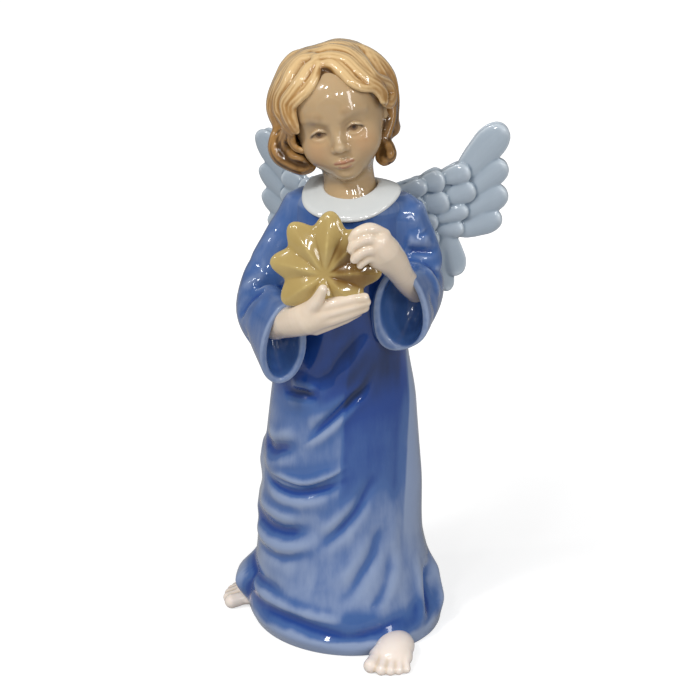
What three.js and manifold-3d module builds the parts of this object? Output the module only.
// A glazed porcelain guardian angel figurine: a child in a long gown who holds a gold star.
//
// A figurine of this kind is slip cast in several moulds. The castings are trimmed, joined with slip
// and fired, so each casting here is a solid of its own, with the width of a slip joint round it.
// Millimetres, +Z up. The origin is the middle of the standing face, and the angel faces -Y, so its
// left hand is at +X. A turn is an angle round the figure from the front, positive towards its left.

import * as THREE from "three";
import { mergeVertices } from "three/addons/utils/BufferGeometryUtils.js";
import Module from "manifold-3d";

const wasm = await Module();
wasm.setup();

// Driving dimensions, in millimetres.
const SLIP_JOINT = 0.3; // the gap that a slip joint fills between two castings
const OVERRUN = 2; // how far a cutter runs past the face that it cuts
const FINEST_DETAIL = 0.15; // smaller steps in a casting's skin are smoothed away
const FINEST_STRAND = 0.35; // and in the hair's

const WAIST_HEIGHT = 92;
const TORSO_HEIGHT = 38; // waist to neckline
const HEM_HALF_WIDTH = 30.5;
const HEM_HALF_DEPTH = 27.5;
const CHEST_HALF_WIDTH = 15;
const CHEST_HALF_DEPTH = 12;
const WALL = 4; // the cast wall of the hollow gown
const FLOOR = 4.5; // the closed base under the hollow
const VENT_RADIUS = 4;
const VENT_BACK = 13; // the vent's centre behind the origin
const FOLD_RISE = 3;
const FOLD_WIDTH = 5.5;

const COLLAR_HALF_WIDTH = 13;
const COLLAR_HALF_DEPTH = 11.4;
const COLLAR_HEIGHT = 4; // its rise from the outer edge to the neck
const COLLAR_DROOP = 4.6; // how much lower it hangs in front
const COLLAR_THICKNESS = 2;

const UPPER_ARM = 22;
const FOREARM = 21;
const SLEEVE_RADIUS = 7.2;
const RIGHT_CUFF_HALF_HEIGHT = 13.2;
const RIGHT_CUFF_HALF_WIDTH = 6;
const LEFT_CUFF_HALF_HEIGHT = 10.8;
const LEFT_CUFF_HALF_WIDTH = 7.4;
const CUFF_WALL = 1.7;
const CUFF_HOLLOW = 6; // the depth of the bell inside the cuff
const WRIST_RADIUS = 3.4;
const FINGER_LENGTH = 10;
const FINGER_RADIUS = 1.7;
const THUMB_RADIUS = 1.9;

const STAR_RADIUS = 14.6;
const STAR_NOTCH_RADIUS = 11.2;
const STAR_HALF_THICKNESS = 3.4;
const STAR_RIM = 1.3; // half the thickness at the edge
const STAR_TIP_RADIUS = 1.9;
const STAR_POINTS = 8;
const STAR_FORWARD = 27.5;
const STAR_LEFT = 4.4;
const STAR_RISE = 25.2; // the star's centre above the waist
const STAR_NOD = -14; // degrees, forwards
const STAR_LEAN = 4; // towards the angel's left
const STAR_TURN = 16; // towards the angel's left

const HEAD_HALF_WIDTH = 11.8;
const HEAD_HALF_DEPTH = 12.6;
const HEAD_HALF_HEIGHT = 14.8;
const NECK_RADIUS = 5.4;
const NECK_LENGTH = 14.6;
const HEAD_NOD = 2; // degrees, forwards
const HEAD_LEAN = -14; // towards the angel's left
const HEAD_TURN = 19; // towards the angel's left
const LOCK_RADIUS = 2; // the widest of the hair's locks

const WING_SPAN = 34;
const WING_HEIGHT = 50;
const FEATHER_THICKNESS = 1.7;
const WING_ROOT_OUT = 7;
const WING_SWEEP = 23; // degrees backwards from the sides
const WING_TURN = 138; // the turn at which each wing meets the back
const WING_DROP = 5; // the right wing sits lower than the left, and leans out
const WING_LEAN = 7; // degrees

const FOOT_LENGTH = 22;
const FOOT_HALF_WIDTH = 5.6;
const FOOT_HEIGHT = 6;
const TOE_RADIUS = 1.55;
const RIGHT_FOOT_TURN = -60; // degrees
const LEFT_FOOT_TURN = 18;

const UP = new THREE.Vector3(0, 0, 1);
const point = (x, y, z) => new THREE.Vector3(x, y, z);
const turned = THREE.MathUtils.degToRad;

/** A pose at a place, nodded forwards, leaned to the left and turned to the left, in degrees. */
function poseAt(place, nod, lean, turn) {
  const turning = new THREE.Euler(turned(nod), turned(lean), turned(turn), "ZXY");
  return new THREE.Matrix4().makeRotationFromEuler(turning).setPosition(place);
}

// Solids from geometry

/** A closed three.js geometry as a solid that can be cut and joined. */
function solidOf(geometry, weld) {
  const bare = geometry.clone();
  bare.deleteAttribute("normal");
  bare.deleteAttribute("uv");
  const merged = mergeVertices(bare, weld);
  return new wasm.Manifold(
    new wasm.Mesh({
      numProp: 3,
      vertProperties: merged.attributes.position.array,
      triVerts: new Uint32Array(merged.index.array),
    }),
  );
}

/** A solid as a geometry to draw. */
function geometryOf(solid) {
  const { vertProperties, triVerts } = solid.getMesh();
  return new THREE.BufferGeometry()
    .setAttribute("position", new THREE.BufferAttribute(vertProperties, 3))
    .setIndex(new THREE.BufferAttribute(triVerts, 1));
}

/** The biggest body of a solid, without the slivers that a cut may leave. */
function biggest(solid) {
  const welded = solidOf(geometryOf(solid.simplify(FINEST_DETAIL)), FINEST_DETAIL / 10);
  const bodies = welded.decompose();
  return bodies.reduce((best, body) => (body.volume() > best.volume() ? body : best));
}

const join = (solids) => solids.reduce((whole, solid) => whole.add(solid));
const cutBy = (solid, cutters) => cutters.reduce((rest, cutter) => rest.subtract(cutter), solid);

/** A closed skin through rings of points, which turn anticlockwise as seen from the last one. */
function loft(rings, firstTip = middle(rings[0]), lastTip = middle(rings.at(-1))) {
  const sides = rings[0].length;
  const positions = [...rings.flat(), firstTip, lastTip].flatMap((p) => p.toArray());
  const first = rings.length * sides;
  const last = first + 1;
  const lastRing = first - sides;
  const faces = [];
  for (let side = 0; side < sides; side++) {
    const next = (side + 1) % sides;
    for (let ring = 0; ring < lastRing; ring += sides) {
      faces.push(ring + side, ring + next, ring + sides + next);
      faces.push(ring + side, ring + sides + next, ring + sides + side);
    }
    faces.push(first, next, side, last, lastRing + side, lastRing + next);
  }
  const geometry = new THREE.BufferGeometry();
  geometry.setAttribute("position", new THREE.Float32BufferAttribute(positions, 3));
  return geometry.setIndex(faces);
}

function middle(ring) {
  return ring.reduce((sum, p) => sum.add(p), point(0, 0, 0)).divideScalar(ring.length);
}

/** An ellipsoid placed by a matrix. */
function ball(radii, matrix = new THREE.Matrix4(), across = 14, down = 10) {
  const geometry = new THREE.SphereGeometry(1, across, down).scale(radii.x, radii.y, radii.z);
  return solidOf(geometry.applyMatrix4(matrix));
}

/** A smooth value along a list of values, at a share from its first to its last. */
function along(values, share) {
  const reach = share * (values.length - 1);
  const index = Math.min(Math.floor(reach), values.length - 2);
  const t = THREE.MathUtils.smoothstep(reach - index, 0, 1);
  return THREE.MathUtils.lerp(values[index], values[index + 1], t);
}

/**
 * An oval limb along a path, with round ends. Its section is widths across and heights upwards. One
 * with gentle bends is a single skin, which has fewer faces.
 */
function limb(path, widths, heights, options = {}) {
  const { grow = 0, sides = 10, steps = 8, capped = true, gentle = false } = options;
  const curve = new THREE.CatmullRomCurve3(path);
  const frames = curve.computeFrenetFrames(steps);
  const END_SHARES = gentle ? [0.75] : [0.9, 0.6];
  const section = (share, scale, offset) => {
    const forward = curve.getTangentAt(share);
    const across = gentle ? frames.normals[Math.round(share * steps)].clone() : forward.clone().cross(UP);
    if (across.length() < 0.1) across.set(1, 0, 0);
    across.normalize();
    const upward = across.clone().cross(forward).normalize();
    const centre = curve.getPointAt(share).addScaledVector(forward, offset);
    const wide = (along(widths, share) + grow) * scale;
    const high = (along(heights, share) + grow) * scale;
    return Array.from({ length: sides }, (_, side) => {
      const angle = (side / sides) * 2 * Math.PI;
      return centre
        .clone()
        .addScaledVector(across, Math.cos(angle) * wide)
        .addScaledVector(upward, -Math.sin(angle) * high);
    });
  };
  const rings = [];
  for (let step = 0; step <= steps; step++) rings.push(section(step / steps, 1, 0));
  if (!capped) {
    rings[0] = section(0, 1, -grow);
    rings[steps] = section(1, 1, grow);
    return hulls(rings);
  }
  const startRadius = Math.min(widths[0], heights[0]) + grow;
  const endRadius = Math.min(widths.at(-1), heights.at(-1)) + grow;
  for (const share of END_SHARES) {
    const bulge = Math.sqrt(1 - share * share);
    rings.unshift(section(0, share, -startRadius * bulge));
    rings.push(section(1, share, endRadius * bulge));
  }
  const startTip = curve.getPointAt(0).addScaledVector(curve.getTangentAt(0), -startRadius);
  const endTip = curve.getPointAt(1).addScaledVector(curve.getTangentAt(1), endRadius);
  if (gentle) return solidOf(loft(rings, startTip, endTip));
  rings[0].push(startTip);
  rings.at(-1).push(endTip);
  return hulls(rings);
}

/** A solid through rounded sections, as overlapping hulls of neighbours, so that a tight bend is sound. */
function hulls(rings) {
  const stretches = rings.slice(1).map((ring, k) => {
    const inner = k + 2 < rings.length;
    const ahead = middle(ring).sub(middle(rings[k])).setLength(inner ? FINEST_DETAIL : 0);
    const overlap = ring.map((p) => p.clone().add(ahead));
    return wasm.Manifold.hull([...rings[k], ...ring, ...overlap].map((p) => p.toArray()));
  });
  return wasm.Manifold.union(stretches);
}

// The gown, a hollow casting with a closed base and a vent

// Each row is a height and the section there: half width, half depth, and its centre left and back.
// The skirt's rows are shares of the waist height and the hem, and the torso's of the chest.
const SKIRT_SHARES = [
  [0, 0.91, 0.93, -0.04, 0.018],
  [0.05, 0.94, 1, -0.06, 0.018],
  [0.13, 0.88, 0.91, -0.08, 0.018],
  [0.22, 0.83, 0.82, -0.09, 0.018],
  [0.33, 0.78, 0.75, -0.11, 0.011],
  [0.54, 0.72, 0.67, -0.1, -0.018],
  [0.84, 0.63, 0.58, -0.07, -0.055],
];
const TORSO_SHARES = [
  [0, 1.17, 1.21, -0.08, -0.125],
  [0.34, 1.07, 1.12, -0.033, -0.125],
  [0.68, 1.02, 1, 0, -0.083],
  [0.87, 0.96, 0.88, 0.033, -0.06],
  [1, 0.62, 0.64, 0.067, -0.2],
];
const GOWN_STATIONS = [
  ...SKIRT_SHARES.map(([height, wide, deep, left, back]) => [
    height * WAIST_HEIGHT,
    wide * HEM_HALF_WIDTH,
    deep * HEM_HALF_DEPTH,
    left * HEM_HALF_WIDTH,
    back * HEM_HALF_DEPTH,
  ]),
  ...TORSO_SHARES.map(([height, wide, deep, left, back]) => [
    WAIST_HEIGHT + height * TORSO_HEIGHT,
    wide * CHEST_HALF_WIDTH,
    deep * CHEST_HALF_DEPTH,
    left * CHEST_HALF_WIDTH,
    back * CHEST_HALF_DEPTH,
  ]),
];
const GOWN_HEIGHT = WAIST_HEIGHT + TORSO_HEIGHT;

// Folds as brush strokes on the gown: places as [turn in degrees, share of the waist height], with
// the rise, or the sink where it is negative, and the width as shares of FOLD_RISE and FOLD_WIDTH.
const FOLD_SHARES = [
  { places: [[-38, 0.81], [-12, 0.826], [3, 0.828]], rise: -0.34, width: 0.4 },
  { places: [[33, 1.05], [20, 0.967], [6, 0.897], [-12, 0.842]], rise: -0.32, width: 0.45 },
  { places: [[50, 0.957], [38, 0.864], [14, 0.768], [-9, 0.674]], rise: -0.42, width: 0.42 },
  { places: [[-66, 0.626], [-45, 0.602], [-12, 0.667]], rise: -0.56, width: 0.45 },
  { places: [[-62, 0.659], [-46, 0.652], [-14, 0.707]], rise: 0.25, width: 0.45 },
  { places: [[-52, 0.496], [-8, 0.504], [12, 0.539], [27, 0.578]], rise: -0.42, width: 0.42 },
  { places: [[-50, 0.53], [-8, 0.54], [12, 0.58], [26, 0.62]], rise: 0.32, width: 0.45 },
  { places: [[-74, 0.348], [-22, 0.354], [5, 0.417]], rise: -0.62, width: 0.48 },
  { places: [[-70, 0.396], [-24, 0.404], [-8, 0.428]], rise: 0.3, width: 0.45 },
  { places: [[-76, 0.3], [-30, 0.304], [8, 0.383]], rise: 0.3, width: 0.45 },
  { places: [[46, 0.587], [34, 0.479], [14, 0.374], [2, 0.322]], rise: -0.38, width: 0.45 },
  { places: [[50, 0.413], [42, 0.31], [25, 0.2], [16, 0.157]], rise: -0.34, width: 0.45 },
  { places: [[58, 0.337], [45, 0.18], [36, 0.137]], rise: -0.3, width: 0.45 },
  { places: [[-58, 0.137], [-29, 0.13], [24, 0.117]], rise: 0.3, width: 0.42 },
  { places: [[-66, 0.104], [-3, 0.087], [25, 0.065], [54, 0.093], [68, 0.065]], rise: -0.42, width: 0.45 },
  { places: [[-90, 0.12], [-78, 0.125], [-58, 0.104]], rise: 1.4, width: 0.8 },
  { places: [[82, 0.054], [88, 0.12], [104, 0.196]], rise: -0.38, width: 0.45 },
  { places: [[96, 0.043], [104, 0.098], [112, 0.22]], rise: 0.5, width: 0.5 },
  { places: [[128, 0.11], [134, 0.43], [140, 0.8]], rise: -0.43, width: 0.62 },
  { places: [[143, 0.09], [147, 0.43], [152, 0.85]], rise: 0.27, width: 0.55 },
  { places: [[158, 0.11], [160, 0.46], [164, 0.83]], rise: -0.33, width: 0.58 },
  { places: [[176, 0.09], [177, 0.46], [178, 0.87]], rise: 0.33, width: 0.58 },
  { places: [[-166, 0.11], [-168, 0.46], [-171, 0.85]], rise: -0.4, width: 0.58 },
  { places: [[-150, 0.09], [-154, 0.48], [-160, 0.87]], rise: 0.27, width: 0.55 },
  { places: [[-132, 0.13], [-138, 0.46], [-146, 0.8]], rise: -0.47, width: 0.62 },
];

/** The gown's section at a height, smooth between its stations. */
function gownSection(height) {
  const last = GOWN_STATIONS.length - 1;
  let index = GOWN_STATIONS.findIndex(([top]) => top > height) - 1;
  if (index < 0) index = last - 1;
  const around = [-1, 0, 1, 2].map((k) => GOWN_STATIONS[THREE.MathUtils.clamp(index + k, 0, last)]);
  const t = (height - around[1][0]) / (around[2][0] - around[1][0]);
  const smooth = (k) => {
    const slope = (a, b) => (around[b][k] - around[a][k]) / Math.max(around[b][0] - around[a][0], WALL);
    const span = around[2][0] - around[1][0];
    const [m1, m2] = [slope(0, 2) * span, slope(1, 3) * span];
    const [t2, t3] = [t * t, t * t * t];
    return (
      (2 * t3 - 3 * t2 + 1) * around[1][k] + (t3 - 2 * t2 + t) * m1 +
      (3 * t2 - 2 * t3) * around[2][k] + (t3 - t2) * m2
    );
  };
  return { wide: smooth(1), deep: smooth(2), left: smooth(3), back: smooth(4) };
}

/** How far strokes push a skin out, where flat gives each stroke place as a flat offset from the point. */
function strokeRise(strokes, fullRise, fullWidth, reach, flat) {
  return strokes.reduce((sum, { places, rise, width }) => {
    let nearest = Infinity;
    for (let k = 0; k + 1 < places.length; k++) {
      const [from, to] = [flat(places[k]), flat(places[k + 1])];
      const leg = to.clone().sub(from);
      const share = THREE.MathUtils.clamp(-from.dot(leg) / leg.lengthSq(), 0, 1);
      nearest = Math.min(nearest, from.addScaledVector(leg, share).length() * reach);
    }
    return sum + rise * fullRise * Math.exp(-((nearest / (width * fullWidth)) ** 2));
  }, 0);
}

/** How far the folds push the gown's surface out at a turn and a height. */
function foldRise(turn, height) {
  const { wide } = gownSection(height);
  return strokeRise(FOLD_SHARES, FOLD_RISE, FOLD_WIDTH, 1, ([atTurn, atHeight]) => {
    const apart = THREE.MathUtils.euclideanModulo(atTurn - turn + 180, 360) - 180;
    return new THREE.Vector2(turned(apart) * wide, atHeight * WAIST_HEIGHT - height);
  });
}

/** A point on the gown, or outside it by grow. */
function onGown(turn, height, grow = 0, folded = true) {
  const { wide, deep, left, back } = gownSection(height);
  const out = grow + (folded ? foldRise(turn, height) : 0);
  const angle = turned(turn);
  return point(left + (wide + out) * Math.sin(angle), back - (deep + out) * Math.cos(angle), height);
}

function gownSkin(low, high, rows, sides, grow, folded) {
  const rings = [];
  for (let row = 0; row <= rows; row++) {
    const height = THREE.MathUtils.lerp(low, high, row / rows);
    const ring = Array.from({ length: sides }, (_, k) => onGown((k / sides) * 360, height, grow, folded));
    rings.push(ring);
  }
  if (grow > 0) {
    rings[0].forEach((p) => (p.z -= grow));
    rings[rows].forEach((p) => (p.z += grow));
  }
  return solidOf(loft(rings));
}

const GOWN_ROWS = 38;
const GOWN_SIDES = 48;
const HOLLOW_TOP_SHARE = 0.78; // the hollow ends below the shoulders

function gownOutside(grow = 0) {
  return gownSkin(0, GOWN_HEIGHT, GOWN_ROWS, GOWN_SIDES, grow, true);
}

function gown() {
  const top = WAIST_HEIGHT + TORSO_HEIGHT * HOLLOW_TOP_SHARE;
  const hollow = gownSkin(FLOOR, top, 8, 20, -WALL, false);
  const vent = new THREE.CylinderGeometry(VENT_RADIUS, VENT_RADIUS, FLOOR + 2 * OVERRUN, 24);
  vent.rotateX(Math.PI / 2).translate(0, VENT_BACK, FLOOR / 2);
  return cutBy(gownOutside(), [hollow, solidOf(vent)]);
}

// The star

const STAR_CENTRE = point(STAR_LEFT, -STAR_FORWARD, WAIST_HEIGHT + STAR_RISE);
const STAR_POSE = poseAt(STAR_CENTRE, STAR_NOD, STAR_LEAN, STAR_TURN);

/** A faceted star that faces -Y, with a ridge along each arm and a rounded tip on it. */
function star(grow = 0) {
  const step = (2 * Math.PI) / STAR_POINTS;
  const TIP_SPREAD_SHARES = [-1, 0, 1];
  const outline = [];
  for (let arm = 0; arm < STAR_POINTS; arm++) {
    const angle = arm * step;
    const out = new THREE.Vector2(Math.cos(angle), Math.sin(angle));
    const side = new THREE.Vector2(-out.y, out.x);
    for (const spread of TIP_SPREAD_SHARES) {
      const bulge = Math.sqrt(1 - (spread * 0.85) ** 2) * (STAR_TIP_RADIUS + grow);
      const reach = STAR_RADIUS - STAR_TIP_RADIUS + bulge;
      const aside = spread * (STAR_TIP_RADIUS + grow);
      outline.push(out.clone().multiplyScalar(reach).addScaledVector(side, aside));
    }
    const notch = angle + step / 2;
    const notchOut = new THREE.Vector2(Math.cos(notch), Math.sin(notch));
    outline.push(notchOut.multiplyScalar(STAR_NOTCH_RADIUS + grow));
  }
  const ring = (y) => outline.map((p) => point(p.x, y, p.y));
  const half = STAR_HALF_THICKNESS + grow;
  const rim = STAR_RIM + grow;
  const geometry = loft([ring(rim), ring(-rim)], point(0, half, 0), point(0, -half, 0));
  return solidOf(geometry).transform(STAR_POSE.elements);
}

// Arms: bell sleeves and the hands that come out of them

const CHEST_TOP = WAIST_HEIGHT + 0.8 * TORSO_HEIGHT;
const atStar = (x, y, z) => STAR_CENTRE.clone().add(point(x, y, z).multiplyScalar(STAR_RADIUS));

const RIGHT_SHOULDER = point(-0.84 * CHEST_HALF_WIDTH, -0.1 * CHEST_HALF_DEPTH, CHEST_TOP);
const RIGHT_ELBOW = RIGHT_SHOULDER.clone().add(point(-0.34, -0.46, -1).multiplyScalar(UPPER_ARM));
const RIGHT_ARM = {
  shoulder: RIGHT_SHOULDER,
  elbow: RIGHT_ELBOW,
  mouth: RIGHT_ELBOW.clone().add(point(0.56, -0.72, -0.32).multiplyScalar(FOREARM)),
  wrist: atStar(-0.93, 0.03, -1.16),
  halfWidth: RIGHT_CUFF_HALF_WIDTH,
  halfHeight: RIGHT_CUFF_HALF_HEIGHT,
};
const LEFT_SHOULDER = point(0.94 * CHEST_HALF_WIDTH, 0.16 * CHEST_HALF_DEPTH, CHEST_TOP);
const LEFT_ELBOW = LEFT_SHOULDER.clone().add(point(0.3, 0.06, -0.86).multiplyScalar(UPPER_ARM));
const LEFT_ARM = {
  shoulder: LEFT_SHOULDER,
  elbow: LEFT_ELBOW,
  mouth: LEFT_ELBOW.clone().add(point(-0.02, -0.8, -0.12).multiplyScalar(FOREARM)),
  wrist: atStar(1, 0.8, -0.3),
  halfWidth: LEFT_CUFF_HALF_WIDTH,
  halfHeight: LEFT_CUFF_HALF_HEIGHT,
};
const SLEEVE_WIDTH_SHARES = [0.8, 0.92, 1.04, 1];
const SLEEVE_HEIGHT_SHARES = [0.78, 0.92, 1.12, 1.36];
const BELL_WIDTH_SHARES = [0.45, 0.85, 1];
const BELL_HEIGHT_SHARES = [0.45, 0.85, 1];

/** A bell sleeve from the shoulder to the cuff, which is hollow. A cutter has grow over zero. */
function sleeve({ shoulder, elbow, mouth, halfWidth, halfHeight }, grow = 0) {
  const mid = elbow.clone().lerp(mouth, 0.5);
  const path = [shoulder, shoulder.clone().lerp(elbow, 0.52), elbow, mid, mouth];
  const widths = [...SLEEVE_WIDTH_SHARES.map((share) => share * SLEEVE_RADIUS), halfWidth];
  const heights = [...SLEEVE_HEIGHT_SHARES.map((share) => share * SLEEVE_RADIUS), halfHeight];
  const cloth = limb(path, widths, heights, { grow, sides: 18, steps: 14, capped: false });
  const top = ball(point(1, 1, 1).multiplyScalar(0.84 * SLEEVE_RADIUS + grow), move(shoulder));
  const inward = mid.clone().sub(mouth).normalize();
  const bellPath = [
    mouth.clone().addScaledVector(inward, CUFF_HOLLOW - grow),
    mouth.clone().addScaledVector(inward, CUFF_HOLLOW / 2),
    mouth.clone().addScaledVector(inward, -OVERRUN),
  ];
  const inside = CUFF_WALL + grow;
  const bellWidths = BELL_WIDTH_SHARES.map((share) => (halfWidth - inside) * share);
  const bellHeights = BELL_HEIGHT_SHARES.map((share) => (halfHeight - inside) * share);
  const bell = limb(bellPath, bellWidths, bellHeights, { sides: 18, steps: 4, capped: false });
  return cloth.add(top).subtract(bell);
}

const move = (place) => new THREE.Matrix4().makeTranslation(place.x, place.y, place.z);

const FINGER_SHARES = [1, 1, 0.8];
const WRIST_SHARES = [1, 1];
const sizes = (radius, shares) => shares.map((share) => share * radius);

/** Four fingers side by side, from the index finger on. The shares are those of FINGER_LENGTH. */
function fingers(firstRoot, spacing, lengthShares, bends, grow) {
  const radii = sizes(FINGER_RADIUS, FINGER_SHARES);
  return lengthShares.map((lengthShare, finger) => {
    const root = firstRoot.clone().addScaledVector(spacing, finger);
    const reach = lengthShare * FINGER_LENGTH;
    const path = [root, ...bends.map((bend) => root.clone().addScaledVector(bend, reach))];
    return limb(path, radii, radii, { grow, sides: 6, steps: 3 });
  });
}

/** The open hand under the star: a cupped palm, four fingers side by side and a thumb in front. */
function rightHand(grow = 0) {
  const { wrist, elbow } = RIGHT_ARM;
  const PALM_WIDE_SHARES = [0.95, 1.3, 1.15];
  const PALM_HIGH_SHARES = [0.95, 1.3, 1.1];
  const LENGTH_SHARES = [1, 1.03, 0.92, 0.8];
  const palm = atStar(-0.17, -0.17, -0.92);
  const knuckles = atStar(0.2, -0.1, -0.79);
  const inSleeve = wrist.clone().lerp(elbow, 0.2);
  const spacing = point(-0.1, 0.7, -0.66).multiplyScalar(FINGER_RADIUS);
  const ahead = point(0.8, 0.36, 0.14);
  const thumb = [atStar(-0.28, -0.24, -0.74), atStar(-0.06, -0.34, -0.5), atStar(0.08, -0.36, -0.22)];
  return join([
    limb([inSleeve, wrist], sizes(WRIST_RADIUS, WRIST_SHARES), sizes(WRIST_RADIUS, WRIST_SHARES), {
      grow,
      steps: 2,
    }),
    limb(
      [wrist, palm, knuckles],
      sizes(WRIST_RADIUS, PALM_WIDE_SHARES),
      sizes(WRIST_RADIUS, PALM_HIGH_SHARES),
      { grow, steps: 5 },
    ),
    ...fingers(
      knuckles.clone().addScaledVector(spacing, -0.9).addScaledVector(UP, FINGER_RADIUS * 0.8),
      spacing,
      LENGTH_SHARES,
      [ahead.clone().multiplyScalar(0.5), ahead.clone().addScaledVector(UP, 0.1)],
      grow,
    ),
    limb(thumb, sizes(THUMB_RADIUS, FINGER_SHARES), sizes(THUMB_RADIUS, FINGER_SHARES), {
      grow,
      sides: 6,
      steps: 3,
    }),
  ]);
}

/** The hand that steadies the star from above, with its fingers curled over the edge. */
function leftHand(grow = 0) {
  const { wrist, elbow } = LEFT_ARM;
  const PALM_WIDE_SHARES = [0.95, 1.1, 1];
  const PALM_HIGH_SHARES = [0.95, 1.55, 1.3];
  const LENGTH_SHARES = [0.5, 0.52, 0.5, 0.44];
  const palm = atStar(0.9, 0.24, 0.28);
  const knuckles = atStar(0.66, 0.02, 0.58);
  const inSleeve = wrist.clone().lerp(elbow, 0.3);
  const spacing = point(0.5, 0.2, 0.72).multiplyScalar(FINGER_RADIUS);
  const thumb = [atStar(0.78, 0, 0.1), atStar(0.6, -0.16, 0.26), atStar(0.46, -0.2, 0.46)];
  return join([
    limb([inSleeve, wrist], sizes(WRIST_RADIUS, WRIST_SHARES), sizes(WRIST_RADIUS, WRIST_SHARES), {
      grow,
      steps: 2,
    }),
    limb(
      [wrist, palm, knuckles],
      sizes(WRIST_RADIUS, PALM_WIDE_SHARES),
      sizes(WRIST_RADIUS, PALM_HIGH_SHARES),
      { grow, steps: 5 },
    ),
    ...fingers(
      knuckles.clone().addScaledVector(spacing, -1.4).addScaledVector(UP, FINGER_RADIUS * 0.4),
      spacing,
      LENGTH_SHARES,
      [point(-0.5, -0.22, 0.24), point(-1, -0.1, -0.1)],
      grow,
    ),
    limb(thumb, sizes(THUMB_RADIUS, FINGER_SHARES), sizes(THUMB_RADIUS, FINGER_SHARES), {
      grow,
      sides: 6,
      steps: 3,
    }),
  ]);
}

// Head, hair and collar

const HEAD_CENTRE = point(
  -0.24 * HEAD_HALF_WIDTH,
  -0.18 * HEAD_HALF_DEPTH,
  WAIST_HEIGHT + TORSO_HEIGHT + NECK_LENGTH / 2 + HEAD_HALF_HEIGHT,
);
const HEAD_POSE = poseAt(HEAD_CENTRE, HEAD_NOD, HEAD_LEAN, HEAD_TURN);
const atHead = (x, y, z) => point(x * HEAD_HALF_WIDTH, y * HEAD_HALF_DEPTH, z * HEAD_HALF_HEIGHT);

// The head as ellipsoids, each with a centre and radii in shares of the head's half sizes: the skull,
// then the jaw, chin, cheeks, nose tip, nose bridge, lips and ears.
const SKULL_SHARES = { centre: [0, 0.06, 0.14], radii: [0.98, 0.96, 0.88], across: 18, down: 12 };
const FACE_SHARES = [
  { centre: [0, -0.2, -0.3], radii: [0.86, 0.72, 0.68], across: 16, down: 10 },
  { centre: [0, -0.46, -0.8], radii: [0.34, 0.36, 0.24] },
  { centre: [-0.42, -0.5, -0.38], radii: [0.36, 0.36, 0.32] },
  { centre: [0.42, -0.5, -0.38], radii: [0.36, 0.36, 0.32] },
  { centre: [0, -0.93, -0.28], radii: [0.15, 0.17, 0.13] },
  { centre: [0, -0.86, -0.12], radii: [0.1, 0.14, 0.22] },
  { centre: [0, -0.84, -0.56], radii: [0.26, 0.1, 0.1] },
  { centre: [-0.97, 0.04, -0.18], radii: [0.12, 0.18, 0.24] },
  { centre: [0.97, 0.04, -0.18], radii: [0.12, 0.18, 0.24] },
];
const NECK_SHARES = [1.25, 0.95];

/** An ellipsoid given in shares of the head's half sizes. */
function headBall({ centre, radii, across = 9, down = 6 }, grow = 0) {
  return ball(atHead(...radii).addScalar(grow), move(atHead(...centre)), across, down);
}

/** Head, ears and neck, with the plain features of a calm child's face. */
function head(grow = 0) {
  const features = [SKULL_SHARES, ...FACE_SHARES].map((shares) => headBall(shares, grow));
  const throat = [neckFoot(), HEAD_CENTRE.clone().addScaledVector(UP, -0.5 * HEAD_HALF_HEIGHT)];
  const radii = sizes(NECK_RADIUS, NECK_SHARES);
  const neck = limb(throat, radii, radii, { grow, sides: 16, steps: 4, capped: false });
  return join(features).transform(HEAD_POSE.elements).add(neck);
}

function neckFoot() {
  return point(0.12 * CHEST_HALF_WIDTH, -0.32 * CHEST_HALF_DEPTH, GOWN_HEIGHT - COLLAR_THICKNESS);
}

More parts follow.
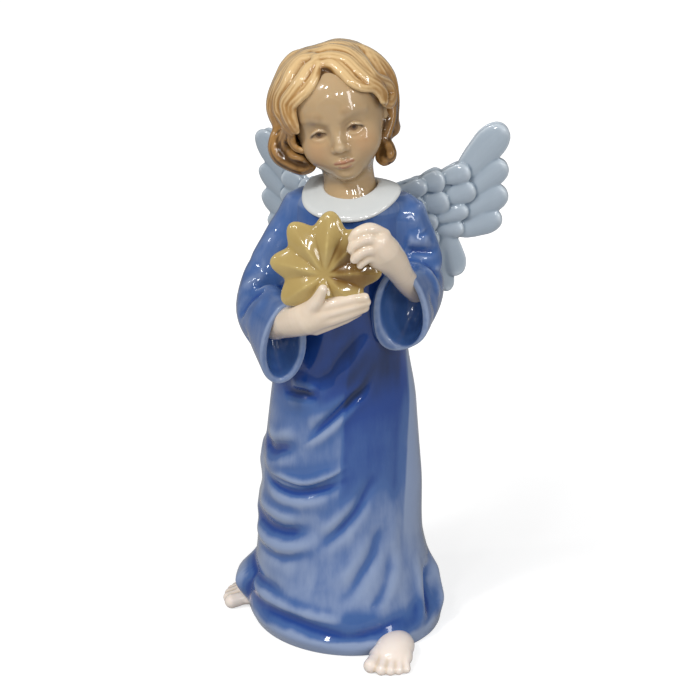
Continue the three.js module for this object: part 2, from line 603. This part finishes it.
// The hair's locks, from the parting down: places in shares of the head's half sizes, and radii as
// shares of LOCK_RADIUS. The right side comes first, then the left.
const LOCK_SHARES = [
  {
    path: [
      [-0.31, 0.22, 1.08], [-0.88, 0.1, 0.92], [-1.27, -0.06, 0.51],
      [-1.34, -0.2, 0.05], [-1.24, -0.24, -0.12],
    ],
    radii: [0.6, 1, 1, 0.9, 0.6],
  },
  {
    path: [
      [-0.19, -0.24, 1.08], [-0.71, -0.34, 0.9], [-1.1, -0.38, 0.51],
      [-1.13, -0.52, 0.2], [-1, -0.76, -0.04],
    ],
    radii: [0.5, 1, 1, 0.9, 0.45],
  },
  {
    path: [
      [-0.12, -0.46, 1.03], [-0.53, -0.71, 0.79], [-0.96, -0.68, 0.47],
      [-0.98, -0.77, 0.24], [-0.92, -0.84, -0.01],
    ],
    radii: [0.45, 0.9, 0.9, 0.8, 0.4],
  },
  {
    path: [
      [-0.08, -0.6, 0.95], [-0.38, -0.88, 0.66], [-0.81, -0.81, 0.42],
      [-0.86, -0.84, 0.17], [-0.84, -0.86, -0.04],
    ],
    radii: [0.35, 0.65, 0.7, 0.6, 0.3],
  },
  {
    path: [
      [-1.29, -0.24, -0.01], [-1.53, -0.35, -0.37], [-1.26, -0.43, -0.7],
      [-0.92, -0.38, -0.76],
    ],
    radii: [0.7, 1, 1, 0.6],
  },
  {
    path: [[-1.09, -0.65, 0.03], [-1.27, -0.41, -0.4], [-0.97, -0.52, -0.62], [-0.9, -0.41, -0.76]],
    radii: [0.6, 0.85, 0.6, 0.4],
  },
  {
    path: [[-1.26, -0.24, -0.72], [-1.07, -0.29, -0.88], [-0.83, -0.32, -0.99]],
    radii: [0.75, 0.85, 0.6],
  },
  {
    path: [
      [-0.2, 0.24, 1.07], [0.56, 0.12, 0.98], [0.95, -0.42, 0.64],
      [1.24, -0.13, 0.26], [1.22, -0.33, -0.03],
    ],
    radii: [0.6, 1, 0.8, 0.9, 0.6],
  },
  {
    path: [
      [-0.11, -0.36, 1.07], [0.53, -0.5, 0.92], [0.9, -0.67, 0.55],
      [1.16, -0.51, 0.22], [1.16, -0.55, 0.07],
    ],
    radii: [0.5, 0.9, 0.8, 0.65, 0.4],
  },
  {
    path: [[-0.05, -0.53, 0.97], [0.44, -0.74, 0.77], [0.78, -0.82, 0.46], [1.08, -0.63, 0.23]],
    radii: [0.35, 0.75, 0.6, 0.4],
  },
  {
    path: [[1.15, 0.13, -0.04], [1.14, -0.02, -0.43], [0.9, -0.16, -0.8], [0.86, -0.27, -1.1]],
    radii: [0.6, 0.7, 0.75, 0.5],
  },
  {
    path: [[1.01, -0.02, -0.5], [0.75, -0.2, -0.88], [0.67, -0.29, -1.12]],
    radii: [0.5, 0.75, 0.4],
  },
];
// Behind, the locks fan out from the crown: how far out and how high each runs, in the same shares.
const BACK_LOCKS = 7;
const BACK_LOCK_TURNS = [76, 284]; // degrees
const BACK_LOCK_SHARES = [
  [0.62, 0.97],
  [1.05, 0.69],
  [1.24, 0.2],
  [1.16, -0.45],
  [1.0, -0.93],
];
const BACK_RADIUS_SHARES = [0.9, 1.4, 1.6, 1.5, 0.9];
const CAP_SHARES = { centre: [-0.06, 0.11, 0.2], radii: [1.2, 1.1, 0.95], across: 20, down: 12 };
const NAPE_SHARES = { centre: [0, 0.27, -0.4], radii: [0.96, 0.74, 0.56], across: 16, down: 10 };
const OPENING_SHARES = { centre: [0.07, -1.16, -0.24], radii: [0.81, 0.71, 1.05], across: 20, down: 14 };
const THROAT_SHARES = { centre: [0.05, -0.63, -0.81], radii: [0.88, 0.63, 0.61], across: 16, down: 10 };

/** The hair: a cap on the skull, open for the face and the throat, with the locks laid over it. */
function hair(grow = 0) {
  const back = Array.from({ length: BACK_LOCKS }, (_, k) => {
    const turn = turned(THREE.MathUtils.lerp(...BACK_LOCK_TURNS, k / (BACK_LOCKS - 1)));
    const path = BACK_LOCK_SHARES.map(([out, up]) => [out * Math.sin(turn), -out * Math.cos(turn), up]);
    return { path, radii: BACK_RADIUS_SHARES };
  });
  const locks = [...LOCK_SHARES, ...back].map(({ path, radii }) => {
    const widths = sizes(LOCK_RADIUS, radii);
    const places = path.map((place) => atHead(...place));
    return limb(places, widths, widths, { grow, sides: 6, steps: path.length, gentle: true });
  });
  const cap = join([CAP_SHARES, NAPE_SHARES].map((shares) => headBall(shares, grow)));
  const openings = [OPENING_SHARES, THROAT_SHARES].map((shares) => headBall(shares, -grow));
  return join([cutBy(cap, openings), ...locks]).simplify(FINEST_STRAND).transform(HEAD_POSE.elements);
}

/** The white collar: a round band that lies on the shoulders and droops in front. */
function collar(grow = 0) {
  const BAND_SHARES = [
    [1, -0.4],
    [1, 0],
    [0.84, 0.62],
    [0.56, 1],
  ];
  const sides = 32;
  const { x, y } = neckFoot();
  const rings = BAND_SHARES.map(([reach, rise]) =>
    Array.from({ length: sides }, (_, k) => {
      const angle = (k / sides) * 2 * Math.PI;
      const front = THREE.MathUtils.smoothstep(-Math.sin(angle), -0.6, 1);
      const lift = rise < 0 ? -COLLAR_THICKNESS - grow : rise * COLLAR_HEIGHT + grow;
      return point(
        x + Math.cos(angle) * (reach * COLLAR_HALF_WIDTH + grow),
        y + Math.sin(angle) * (reach * COLLAR_HALF_DEPTH + grow),
        GOWN_HEIGHT + lift - COLLAR_DROOP * front * reach,
      );
    }),
  );
  return solidOf(loft(rings));
}

// Wings

// Feathers as [root out, root up, tip out, tip up, half width], in shares of the wing's span and
// height, measured from the wing's root at the shoulder. Each row starts at the back with small
// coverts and ends in a long flight feather, and three feathers hang below.
const FEATHER_SHARES = [
  [0.09, 0.14, 0.32, 0.18, 0.056],
  [0.25, 0.18, 0.46, 0.21, 0.068],
  [0.41, 0.21, 0.665, 0.255, 0.064],
  [0.55, 0.22, 0.91, 0.51, 0.082],
  [0.09, 0.02, 0.31, 0.065, 0.068],
  [0.28, 0.045, 0.5, 0.095, 0.07],
  [0.44, 0.08, 0.7, 0.165, 0.07],
  [0.61, 0.12, 0.955, 0.3, 0.064],
  [0.15, -0.08, 0.41, -0.02, 0.06],
  [0.365, -0.025, 0.655, 0.04, 0.056],
  [0.575, -0.015, 0.98, 0.14, 0.064],
  [0.165, -0.16, 0.43, -0.12, 0.056],
  [0.385, -0.1, 0.625, -0.065, 0.054],
  [0.545, -0.115, 0.94, -0.01, 0.06],
  [0.255, -0.11, 0.355, -0.37, 0.064],
  [0.48, -0.08, 0.575, -0.35, 0.074],
  [0.4, -0.18, 0.505, -0.44, 0.058],
];
const FEATHER_SQUARENESS = 2.8; // 2 is an oval, and more is blunter

const wingPlace = (side) => {
  const sweep = turned(WING_SWEEP);
  const height = WAIST_HEIGHT + 0.74 * TORSO_HEIGHT;
  const root = onGown(side * WING_TURN, height, FEATHER_THICKNESS, false).setX(side * WING_ROOT_OUT);
  const out = point(side * Math.cos(sweep), Math.sin(sweep), 0);
  const thick = out.clone().cross(UP).normalize();
  const lean = new THREE.Matrix4().makeRotationZ(turned(side < 0 ? -WING_LEAN : 0));
  const place = new THREE.Matrix4().makeBasis(out, UP, thick);
  return place.setPosition(root.setZ(height - (side < 0 ? WING_DROP : 0))).multiply(lean);
};

/** A blunt oval feather in a wing's plane. */
function feather([rootOut, rootUp, tipOut, tipUp, halfWidth], grow) {
  const root = point(rootOut * WING_SPAN, rootUp * WING_HEIGHT, 0);
  const tip = point(tipOut * WING_SPAN, tipUp * WING_HEIGHT, 0);
  const run = tip.clone().sub(root);
  const geometry = new THREE.SphereGeometry(1, 8, 5);
  const places = geometry.attributes.position;
  for (let k = 0; k < places.count; k++) {
    const [x, y, z] = [places.getX(k), places.getY(k), places.getZ(k)];
    const power = FEATHER_SQUARENESS;
    const round = (Math.abs(x) ** power + Math.abs(y) ** power) ** (1 / power);
    const stretch = round > 0 ? Math.hypot(x, y) / round : 1;
    places.setXYZ(k, x * stretch, y * stretch, z);
  }
  geometry.scale(run.length() / 2 + grow, halfWidth * WING_HEIGHT + grow, FEATHER_THICKNESS + grow);
  geometry.rotateZ(Math.atan2(run.y, run.x));
  const centre = root.lerp(tip, 0.5);
  return solidOf(geometry.translate(centre.x, centre.y, 0));
}

/** One wing of overlapping feathers. Side is 1 for the angel's left and -1 for its right. */
function wing(side, grow = 0) {
  const feathers = FEATHER_SHARES.map((shares) => feather(shares, grow));
  const shoulder = ball(
    point(0.27 * WING_SPAN, 0.2 * WING_HEIGHT, 1.4 * FEATHER_THICKNESS).addScalar(grow),
    move(point(0.18 * WING_SPAN, 0, 0)),
    12,
    8,
  );
  return join([shoulder, ...feathers]).transform(wingPlace(side).elements);
}

// Feet

const TOE_SHARES = [
  { across: -0.66, back: 0.06, radius: 1.2 },
  { across: -0.24, back: 0.03, radius: 0.96 },
  { across: 0.12, back: 0.05, radius: 0.92 },
  { across: 0.46, back: 0.085, radius: 0.86 },
  { across: 0.76, back: 0.13, radius: 0.8 },
];

/** A bare foot under the hem, toes outwards, standing on the ground. Side is 1 for the left foot. */
function foot(side, tip, turn) {
  const out = turned(turn);
  const ahead = point(Math.sin(out), -Math.cos(out), 0);
  const outwards = point(Math.cos(out), Math.sin(out), 0).multiplyScalar(side);
  const at = (back, across, up) =>
    tip
      .clone()
      .addScaledVector(ahead, -back * FOOT_LENGTH)
      .addScaledVector(outwards, across * FOOT_HALF_WIDTH)
      .addScaledVector(UP, up);
  const WIDE_SHARES = [0.8, 0.98, 0.9];
  const HIGH_SHARES = [0.5, 0.44, 0.24];
  const instep = limb(
    [at(0.62, 0, 0.6 * FOOT_HEIGHT), at(0.4, 0, 0.46 * FOOT_HEIGHT), at(0.16, 0, 0.2 * FOOT_HEIGHT)],
    sizes(FOOT_HALF_WIDTH, WIDE_SHARES),
    sizes(FOOT_HEIGHT, HIGH_SHARES),
    { sides: 12, steps: 5 },
  );
  const toes = TOE_SHARES.map(({ across, back, radius }) => {
    const size = radius * TOE_RADIUS;
    return limb([at(0.28, 0.8 * across, size), at(back, across, size)], [size, size], [size, size], {
      sides: 6,
      steps: 2,
    });
  });
  const ground = new THREE.BoxGeometry(3 * FOOT_LENGTH, 3 * FOOT_LENGTH, FOOT_HEIGHT);
  const below = solidOf(ground.translate(tip.x, tip.y, -FOOT_HEIGHT / 2));
  return join([instep, ...toes]).subtract(below);
}

// The figurine

const GLAZES = {
  blue: { color: 0x4a6fae, roughness: 0.12 },
  white: { color: 0xe4e9ee, roughness: 0.12 },
  skin: { color: 0xe9d3bf, roughness: 0.14 },
  brown: { color: 0xa9753f, roughness: 0.16 },
  gold: { color: 0xbfa35a, roughness: 0.2 },
  grey: { color: 0xb4c1cf, roughness: 0.14 },
};

const figurine = new THREE.Group();
figurine.name = "guardian_angel_figurine";

/** Adds a solid as a named mesh, in a group that has its pose. */
function addPiece(name, solid, glaze, pose = new THREE.Matrix4()) {
  const geometry = geometryOf(biggest(solid)).applyMatrix4(pose.clone().invert());
  const mesh = new THREE.Mesh(geometry, new THREE.MeshStandardMaterial({ ...glaze, metalness: 0 }));
  mesh.name = name;
  const group = new THREE.Group();
  pose.decompose(group.position, group.quaternion, group.scale);
  group.add(mesh);
  figurine.add(group);
}

const gownCutter = gownOutside(SLIP_JOINT);
const starCutter = star(SLIP_JOINT);
const headCutter = head(SLIP_JOINT);
const collarCutter = collar(SLIP_JOINT);
const hairCutter = hair(SLIP_JOINT);
const rightSleeveCutter = sleeve(RIGHT_ARM, SLIP_JOINT);
const leftSleeveCutter = sleeve(LEFT_ARM, SLIP_JOINT);

addPiece("gown", gown(), GLAZES.blue);
addPiece("right_sleeve", cutBy(sleeve(RIGHT_ARM), [gownCutter, collarCutter]), GLAZES.blue);
addPiece("left_sleeve", cutBy(sleeve(LEFT_ARM), [gownCutter, collarCutter]), GLAZES.blue);
addPiece("collar", cutBy(collar(), [gownCutter, headCutter]), GLAZES.white);
addPiece("head", cutBy(head(), [gownCutter]), GLAZES.skin, HEAD_POSE);
addPiece("hair", cutBy(hair(), [headCutter, gownCutter, collarCutter]), GLAZES.brown, HEAD_POSE);
addPiece("star", cutBy(star(), [gownCutter]), GLAZES.gold, STAR_POSE);
addPiece(
  "right_hand",
  cutBy(rightHand(), [starCutter, rightSleeveCutter, leftSleeveCutter, gownCutter]),
  GLAZES.skin,
);
addPiece(
  "left_hand",
  cutBy(leftHand(), [starCutter, leftSleeveCutter, rightSleeveCutter, gownCutter]),
  GLAZES.skin,
);
const wingCutters = [gownCutter, collarCutter, hairCutter, rightSleeveCutter, leftSleeveCutter];
addPiece("right_wing", cutBy(wing(-1), wingCutters), GLAZES.grey);
addPiece("left_wing", cutBy(wing(1), wingCutters), GLAZES.grey);
const rightTip = point(-1.24 * HEM_HALF_WIDTH, -0.31 * HEM_HALF_DEPTH, 0);
const leftTip = point(0.76 * HEM_HALF_WIDTH, -1.08 * HEM_HALF_DEPTH, 0);
addPiece("right_foot", cutBy(foot(-1, rightTip, RIGHT_FOOT_TURN), [gownCutter]), GLAZES.skin);
addPiece("left_foot", cutBy(foot(1, leftTip, LEFT_FOOT_TURN), [gownCutter]), GLAZES.skin);

export default figurine;
